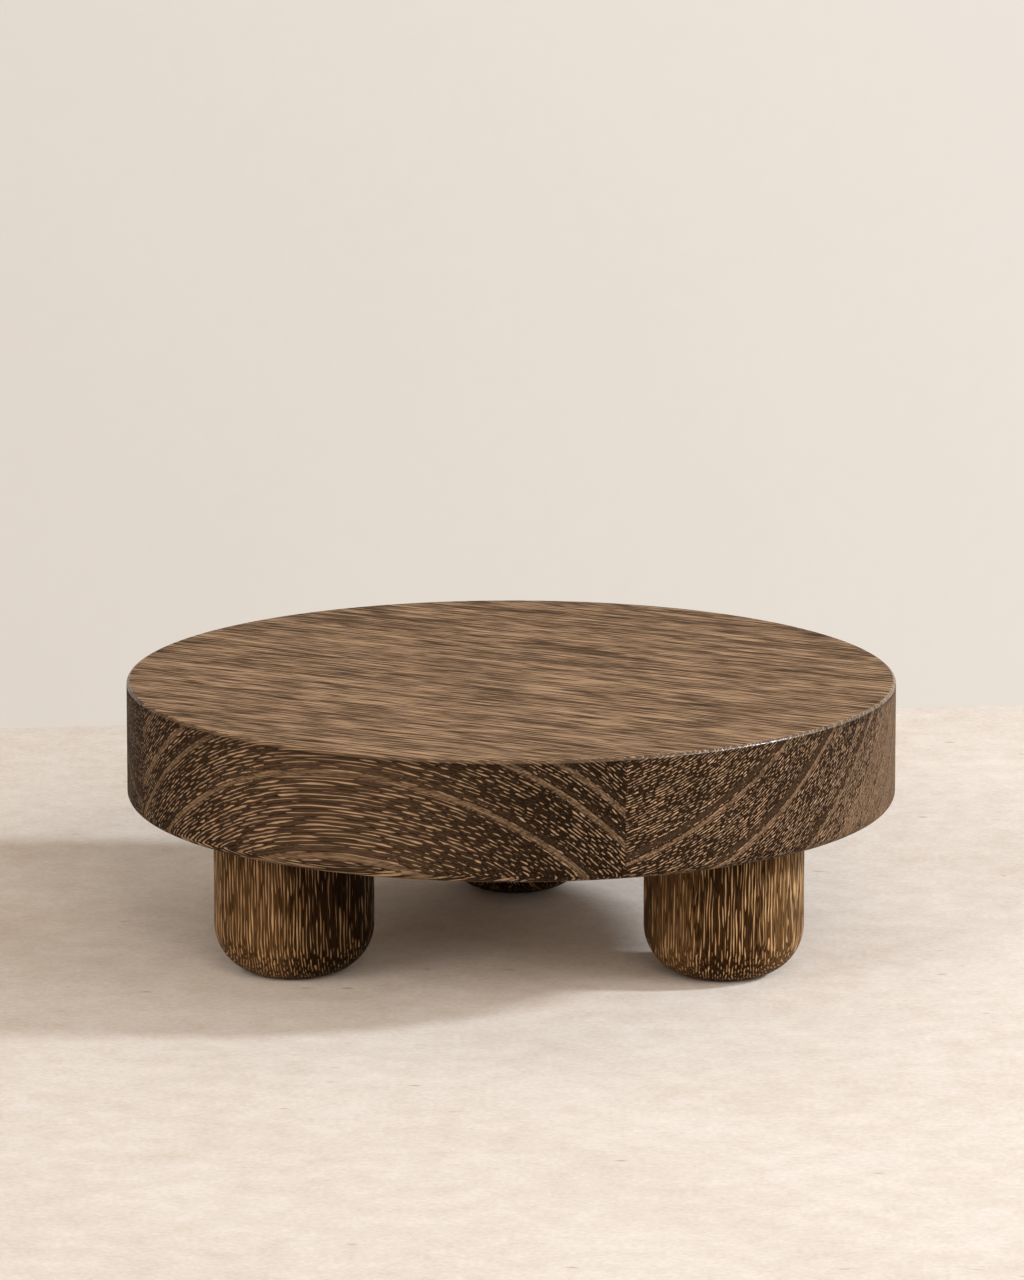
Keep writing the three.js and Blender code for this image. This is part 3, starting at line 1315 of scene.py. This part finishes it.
@dataclass
class DowelHole:
    """The blind hole that a dowel is glued into, half of it in the foot and half in the top."""

    place: FootPlace
    clearance: float = 0.3 * MM
    glue_pocket: float = 1.0 * MM
    points: int = 64

    def __post_init__(self) -> None:
        """Takes the hole's place and size from the dowel's solid."""
        dowel = f"dowel_{self.place.value}"
        low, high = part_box(dowel)
        self.axis = Vector(((low.x + high.x) / 2, (low.y + high.y) / 2, 0.0))
        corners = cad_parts[dowel].data.vertices
        self.radius = max((corner.co - self.axis).xy.length for corner in corners) + self.clearance
        self.bottom = low.z - self.glue_pocket
        self.top = high.z + self.glue_pocket

    def drill(self, material: Material) -> bpy.types.Object:
        """Makes the plug of wood that the hole takes out, with the material that its wall gets."""
        rings = [Ring(self.radius, height, self.points) for height in (self.bottom, self.top)]
        return finished_object("drill", turned_mesh(rings, self.axis), material)


@dataclass
class Top:
    """The round top, edge-glued from three boards."""

    upper_edge: float = 1.4 * MM
    lower_edge: float = 4.0 * MM
    edge_points: int = 2048
    rim_points: int = 1024
    edge_steps: int = 8
    rim_rows: int = 6
    fewest_points: int = 16
    nick_pitch: float = 0.9 * MM
    nick_depth: float = 0.4 * MM
    chip_pitch: float = 2.6 * MM
    chip_depth: float = 1.6 * MM
    chip_threshold: float = 0.3
    chip_seed: float = 7.0
    nicked_from: float = 0.15
    nicked_fully: float = 0.55

    def __post_init__(self) -> None:
        """Takes the top's radius and height from the solids."""
        low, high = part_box(Board.CENTRE.value)
        self.radius = high.x
        self.bottom = low.z
        self.top = high.z

    def build(self, groups: WoodGroups) -> None:
        """Makes the boards and dresses them.

        Args:
            groups: The wood's node groups.
        """
        disc = self._disc()
        for board in Board:
            mesh = disc.copy()
            self._cut(mesh, board)
            name = f"{board.value}_wood"
            material = BOARD_TIMBERS[board].material(groups, name, ORIGIN, FACE_AND_SHEEN_PALETTE)
            piece = finished_object(name, mesh, material)
            if board is Board.CENTRE:
                self._bore(piece, material)
            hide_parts(board.value)
            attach(piece, BODY)
            log.info("%s: %d faces", piece.name, len(piece.data.polygons))
        disc.free()

    def _disc(self) -> Mesh:
        """Makes the whole disc, with both of its edges eased.

        Returns:
            The mesh.
        """
        low = Ring(self.radius - self.lower_edge, self.bottom + self.lower_edge, self.rim_points)
        high = Ring(self.radius - self.upper_edge, self.top - self.upper_edge, self.edge_points)
        rings = halving(Ring(low.radius, self.bottom, low.count), self.fewest_points)[::-1]
        rings += arc(low, self.lower_edge, -QUARTER, 0.0, self.edge_steps)
        rings += upright(self.radius, low.height, high.height, self.rim_rows, self.rim_points)
        rings += arc(high, self.upper_edge, 0.0, QUARTER, self.edge_steps)
        rings += halving(Ring(high.radius, self.top, high.count), self.fewest_points)
        disc = turned_mesh(rings, ORIGIN)
        self._nick_upper_edge(disc)
        return disc

    def _nick_upper_edge(self, disc: Mesh) -> None:
        """Presses small nicks and a few chips into the upper edge, where it is cut across the grain.

        Args:
            disc: The whole disc, which is only pressed inwards and down.
        """
        grain = Grain.ALONG_THE_BOARDS.direction
        for vertex in disc.verts:
            outward = math.hypot(vertex.co.x, vertex.co.y) - (self.radius - self.upper_edge)
            upward = vertex.co.z - (self.top - self.upper_edge)
            if outward <= 0 or upward <= 0:
                continue
            crest = math.sin(2 * math.atan2(upward, outward))
            level = Vector((vertex.co.x, vertex.co.y, 0.0)).normalized()
            crossing = (abs(level.dot(grain)) - self.nicked_from) / (self.nicked_fully - self.nicked_from)
            around = math.atan2(vertex.co.y, vertex.co.x) * self.radius
            nick = max(0.0, noise.noise((around / self.nick_pitch, 0.0, 0.0)))
            chip_noise = noise.noise((around / self.chip_pitch, self.chip_seed, 0.0))
            chip = max(0.0, chip_noise - self.chip_threshold)
            depth = min(1.0, max(0.0, crossing)) * crest * (self.nick_depth * nick + self.chip_depth * chip)
            facing = level + Vector((0.0, 0.0, 1.0))
            vertex.co -= facing.normalized() * depth

    @staticmethod
    def _cut(mesh: Mesh, board: Board) -> None:
        """Saws the disc down to one board, at the joint faces of the board's solid.

        Args:
            mesh: The disc's mesh, which becomes the board's.
            board: The board.
        """
        backward = Vector((-math.sin(GRAIN_ANGLE), math.cos(GRAIN_ANGLE), 0.0))
        reach = [backward.dot(vertex.co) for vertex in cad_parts[board.value].data.vertices]
        front, back = (min(reach), -1.0), (max(reach), 1.0)
        joints = {Board.FRONT: (back,), Board.CENTRE: (front, back), Board.BACK: (front,)}
        for across, side in joints[board]:
            cut = bmesh.ops.bisect_plane(
                mesh,
                geom=[*mesh.verts, *mesh.edges, *mesh.faces],
                plane_co=backward * across,
                plane_no=backward * side,
                clear_outer=True,
            )
            edges = [item for item in cut["geom_cut"] if isinstance(item, bmesh.types.BMEdge)]
            bmesh.ops.edgeloop_fill(mesh, edges=edges)
        bmesh.ops.recalc_face_normals(mesh, faces=mesh.faces)

    @staticmethod
    def _bore(piece: bpy.types.Object, material: Material) -> None:
        """Drills a blind hole over each foot.

        Args:
            piece: The board that all the feet stand under.
            material: Its material.
        """
        for place in FootPlace:
            drill = DowelHole(place).drill(material)
            cut = piece.modifiers.new("hole", "BOOLEAN")
            cut.operation = "DIFFERENCE"
            cut.solver = "EXACT"
            cut.object = drill
            bored = piece.evaluated_get(bpy.context.evaluated_depsgraph_get())
            data = bpy.data.meshes.new_from_object(bored)
            piece.modifiers.remove(cut)
            piece.data = data
            bpy.data.objects.remove(drill)


@dataclass
class Foot:
    """A turned foot with a large round at the floor and a blind hole for its dowel."""

    place: FootPlace
    round: float = 20.0 * MM
    points: int = 256
    round_steps: int = 16
    side_rows: int = 8
    fewest_points: int = 16

    def __post_init__(self) -> None:
        """Takes the foot's place and size from the solids."""
        low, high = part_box(f"foot_{self.place.value}")
        self.centre = Vector(((low.x + high.x) / 2, (low.y + high.y) / 2, low.z))
        self.radius = (high.x - low.x) / 2
        self.height = high.z - low.z
        self.hole = DowelHole(self.place)

    def build(self, groups: WoodGroups) -> None:
        """Makes the foot and dresses it.

        Args:
            groups: The wood's node groups.
        """
        base = self.radius - self.round
        rings = halving(Ring(base, 0.0, self.points), self.fewest_points)[::-1]
        rings += arc(Ring(base, self.round, self.points), self.round, -QUARTER, 0.0, self.round_steps)
        rings += upright(self.radius, self.round, self.height, self.side_rows, self.points)
        hole_bottom = self.hole.bottom - self.centre.z
        for radius, height in (
            (self.radius, self.height),
            (self.hole.radius, self.height),
            (self.hole.radius, hole_bottom),
        ):
            rings.append(Ring(radius, height, self.points))
        mesh = turned_mesh(rings, self.centre)
        material = FOOT_TIMBERS[self.place].material(groups, f"{self.place.value}_foot_wood", self.centre)
        piece = finished_object(f"foot_{self.place.value}_wood", mesh, material)
        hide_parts(f"foot_{self.place.value}")
        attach(piece, BODY)
        log.info("%s: %d faces", piece.name, len(piece.data.polygons))


@dataclass
class Dowels:
    """The fluted dowels, whose solids stay as they are."""

    finish: DowelWood = DowelWood()

    def build(self) -> None:
        """Dresses the dowels' solids."""
        material = self.finish.material()
        for place in FootPlace:
            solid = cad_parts[f"dowel_{place.value}"]
            for material_slot in solid.material_slots:
                material_slot.material = material
            log.info("%s: %s", solid.name, material.name)


# The studio


@dataclass(frozen=True)
class Lamp:
    """A soft round lamp, placed by its bearing from +X towards +Y, its elevation and its distance.

    Both angles are in degrees.
    """

    name: str
    bearing: float
    watts: float
    colour: tuple[float, float, float]
    elevation: float = 28.0
    distance: float = 6.0
    size: float = 3.2

    def build(self) -> None:
        """Makes the lamp, aimed at the riser."""
        bearing, elevation = math.radians(self.bearing), math.radians(self.elevation)
        level = math.cos(elevation)
        direction = Vector((level * math.cos(bearing), level * math.sin(bearing), math.sin(elevation)))
        data = bpy.data.lights.new(self.name, "AREA")
        data.shape = "DISK"
        data.size = self.size
        data.energy = self.watts
        data.color = self.colour
        made = shown_object(self.name, data)
        made.location = self.distance * direction
        made.rotation_euler = (-made.location).to_track_quat("-Z", "Y").to_euler()
        log.info("%s: %.0f W", self.name, self.watts)


@dataclass
class Studio:
    """A pale floor and wall, a lamp on the right, a half ring of soft lamps in front and a faint even fill.

    The wall throws back only a share of the light that its colour would.
    """

    floor: Stone = Stone()
    floor_half: float = 4.0
    wall: Plaster = Plaster()
    wall_distance: float = 0.42
    wall_turn: float = math.radians(7.0)
    wall_height: float = 3.0
    wall_share: float = 0.5
    fill_colour: Colour = (1.0, 0.905, 0.79, 1.0)
    fill_strength: float = 0.1
    seen_colour: Colour = (0.82, 0.75, 0.68, 1.0)
    lamps: tuple[Lamp, ...] = (
        Lamp(
            "side_lamp",
            bearing=-3.0,
            watts=43.0,
            colour=(0.93, 1.0, 1.07),
            elevation=31.0,
            distance=2.5,
            size=0.3,
        ),
        Lamp("right_soft_lamp", bearing=-35.0, watts=125.0, colour=(1.02, 1.0, 0.95)),
        Lamp("middle_soft_lamp", bearing=-80.0, watts=150.0, colour=(1.16, 1.0, 0.82)),
        Lamp("left_soft_lamp", bearing=-130.0, watts=114.0, colour=(1.06, 1.0, 0.92)),
    )

    def build(self) -> None:
        """Makes the floor, the wall, the lamps and the fill."""
        half = self.floor_half
        along = Vector((math.cos(self.wall_turn), math.sin(self.wall_turn), 0.0)) * half
        middle = Vector((0.0, self.wall_distance, 0.0))
        up = Vector((0.0, 0.0, self.wall_height))
        left, right = middle - along, middle + along
        near_left, near_right = Vector((left.x, -half, 0.0)), Vector((right.x, -half, 0.0))
        self._sheet("floor", [near_left, near_right, right, left], self.floor.material())
        plaster = self.wall.material()
        self._sheet("wall", [left, right, right + up, left + up], plaster)
        self._as_backdrop(plaster.node_tree)
        for lamp in self.lamps:
            lamp.build()
        self._fill()

    @staticmethod
    def _sheet(name: str, corners: Sequence[Vector], material: Material) -> None:
        """Makes a flat part of the stage.

        Args:
            name: Its name.
            corners: Its corners in order.
            material: Its material.
        """
        data = bpy.data.meshes.new(name)
        data.from_pydata(corners, [], [range(len(corners))])
        data.materials.append(material)
        made = shown_object(name, data)
        log.info("%s", name)

    @staticmethod
    def _seen(wiring: Wiring) -> tuple[Socket, Socket]:
        """Adds the nodes that tell what is seen from what only lights the riser.

        Args:
            wiring: The wiring of a material or of the world.

        Returns:
            Whether the camera sees it itself, and whether the camera, gloss or glass shows it.
        """
        rays = wiring.add("ShaderNodeLightPath").outputs
        seen = wiring.maths("MAXIMUM", rays["Is Camera Ray"], rays["Is Glossy Ray"])
        return rays["Is Camera Ray"], wiring.maths("MAXIMUM", seen, rays["Is Transmission Ray"])

    def _as_backdrop(self, tree: NodeTree) -> None:
        """Shows a wall at its own colour, and lets a camera behind it look through.

        Args:
            tree: The nodes of the wall's material.
        """
        wiring = Wiring(tree)
        shader = own_node(tree, "BSDF_PRINCIPLED")
        by_camera, seen = self._seen(wiring)
        colour = shader.inputs["Base Color"].links[0].from_socket
        glow = wiring.fed("ShaderNodeEmission", {"Color": colour})
        thrown_back = (self.wall_share, self.wall_share, self.wall_share, 1.0)
        wiring.feed(shader, {"Base Color": wiring.blend(1.0, colour, thrown_back, "MULTIPLY")})
        lit = wiring.fed("ShaderNodeMixShader", {0: seen, 1: shader.outputs[0], 2: glow.outputs[0]})
        behind = wiring.add("ShaderNodeNewGeometry").outputs["Backfacing"]
        values = {
            0: wiring.maths("MULTIPLY", behind, by_camera),
            1: lit.outputs[0],
            2: wiring.add("ShaderNodeBsdfTransparent").outputs[0],
        }
        surface = wiring.fed("ShaderNodeMixShader", values).outputs[0]
        wiring.feed(own_node(tree, "OUTPUT_MATERIAL"), {"Surface": surface})

    def _fill(self) -> None:
        """Sets the even light from all round, and the pale colour that is seen beyond the stage."""
        world = bpy.data.worlds.new("fill")
        world.use_nodes = True
        wiring = Wiring(world.node_tree)
        _, seen = self._seen(wiring)
        values = {
            "Color": wiring.blend(seen, self.fill_colour, self.seen_colour),
            "Strength": wiring.ramp(seen, 0.0, 1.0, self.fill_strength, 1.0),
        }
        wiring.feed(own_node(world.node_tree, "BACKGROUND"), values)
        bpy.context.scene.world = world


@dataclass
class Viewpoint:
    """The camera: a long lens a little above the riser, almost square on."""

    distance: float = 3.355
    height: float = 0.827
    azimuth: float = math.radians(1.1)
    target: Vector = Vector((0.0003, 0.0, 0.123))
    lens: float = 243.3
    sensor: float = 36.0

    def build(self) -> None:
        """Makes the camera and looks through it."""
        data = bpy.data.cameras.new("camera")
        data.lens = self.lens
        data.sensor_fit = "AUTO"
        data.sensor_width = self.sensor
        made = shown_object("camera", data)
        made.location = (
            self.distance * math.sin(self.azimuth),
            -self.distance * math.cos(self.azimuth),
            self.height,
        )
        made.rotation_euler = (self.target - made.location).to_track_quat("-Z", "Y").to_euler()
        bpy.context.scene.camera = made


def main() -> None:
    """Builds the riser, the studio and the camera."""
    logging.basicConfig(level=logging.INFO, format="%(name)s: %(message)s")
    bpy.context.scene.view_settings.view_transform = "Standard"
    Viewpoint().build()
    Studio().build()
    groups = WoodGroups()
    Top().build(groups)
    for place in FootPlace:
        Foot(place).build(groups)
    Dowels().build()


if __name__ == "__main__":
    main()
